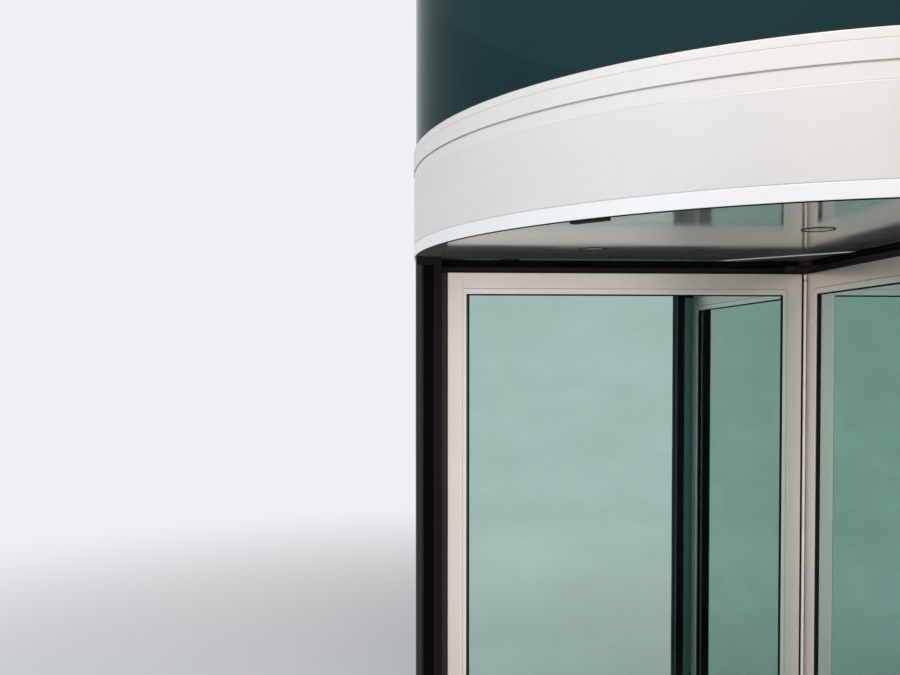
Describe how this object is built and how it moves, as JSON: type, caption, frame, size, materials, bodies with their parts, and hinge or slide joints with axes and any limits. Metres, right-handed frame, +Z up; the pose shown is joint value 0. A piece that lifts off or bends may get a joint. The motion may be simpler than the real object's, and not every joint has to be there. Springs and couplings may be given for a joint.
{
  "type": "four-wing revolving door",
  "caption": "Revolving door: a round drum with open front and rear, a curved canopy with a glass drum above, and crossed glazed wings that turn about a central axis.",
  "frame": {"origin": "on the wings' turning axis, at ground level under the floor ring", "axes": "+Z up along the turning axis, -Y towards the outside of the building, X along the facade"},
  "size_m": [2.8068, 2.8068, 3.129],
  "materials": {
    "canopy_aluminium": "satin anodised sheet",
    "wing_aluminium": "satin anodised profile",
    "dark_metal": "dark bronze, half gloss",
    "seal_holder": "grey-brown, half gloss",
    "black_metal": "black, matt",
    "stainless": "brushed",
    "bright_trim": "polished",
    "ceiling_panel": "polished, mirrors the wings",
    "wing_glass": "green tinted, reflecting",
    "wall_glass": "dark tinted, reflecting",
    "upper_glass": "dark teal, reflecting",
    "entrance_mat": "ribbed grille with dark inserts",
    "sensor_plastic": "black",
    "brush_seal": "dense nylon brush"
  },
  "bodies": {
    "drum": {"floor_ring": "stainless", "floor_tray": "black_metal", "mat_front": "entrance_mat", "mat_rear": "entrance_mat", "floor_bearing": "stainless", "side_glass_left": "wall_glass", "side_glass_right": "wall_glass", "side_sills": "dark_metal", "side_heads": "dark_metal", "mullions": "dark_metal", "canopy_frame": "black_metal", "lower_band": "canopy_aluminium", "fascia_front": "canopy_aluminium", "fascia_rear": "canopy_aluminium", "fascia_left": "canopy_aluminium", "fascia_right": "canopy_aluminium", "upper_band": "canopy_aluminium", "coping": "canopy_aluminium", "ceiling_front": "ceiling_panel", "ceiling_rear": "ceiling_panel", "beam_cover": "ceiling_panel", "beam_trims": "bright_trim", "downlights": "bright_trim", "sensors": "sensor_plastic", "bearing_flange": "dark_metal", "roof_deck": "black_metal", "upper_glass_front": "upper_glass", "upper_glass_rear": "upper_glass", "upper_glass_left": "upper_glass", "upper_glass_right": "upper_glass", "head_ring": "dark_metal", "post_front_left": "dark_metal", "post_front_right": "dark_metal", "post_rear_left": "dark_metal", "post_rear_right": "dark_metal"},
    "rotor": {"centre_post": "black_metal", "corner_beads": "bright_trim", "hub": "dark_metal", "wing_frame_front_left": "wing_aluminium", "wing_frame_front_right": "wing_aluminium", "wing_frame_rear_left": "wing_aluminium", "wing_frame_rear_right": "wing_aluminium", "wing_glass_front_left": "wing_glass", "wing_glass_front_right": "wing_glass", "wing_glass_rear_left": "wing_glass", "wing_glass_rear_right": "wing_glass", "top_holders": "seal_holder", "top_brushes": "brush_seal", "side_holders": "seal_holder", "side_brushes": "brush_seal", "bottom_brushes": "brush_seal"}
  },
  "joints": [
    {"name": "door_spin", "type": "hinge", "parent": "drum", "child": "rotor", "pos_m": [0, 0, 0], "axis": [0, 0, 1], "continuous": true}
  ]
}
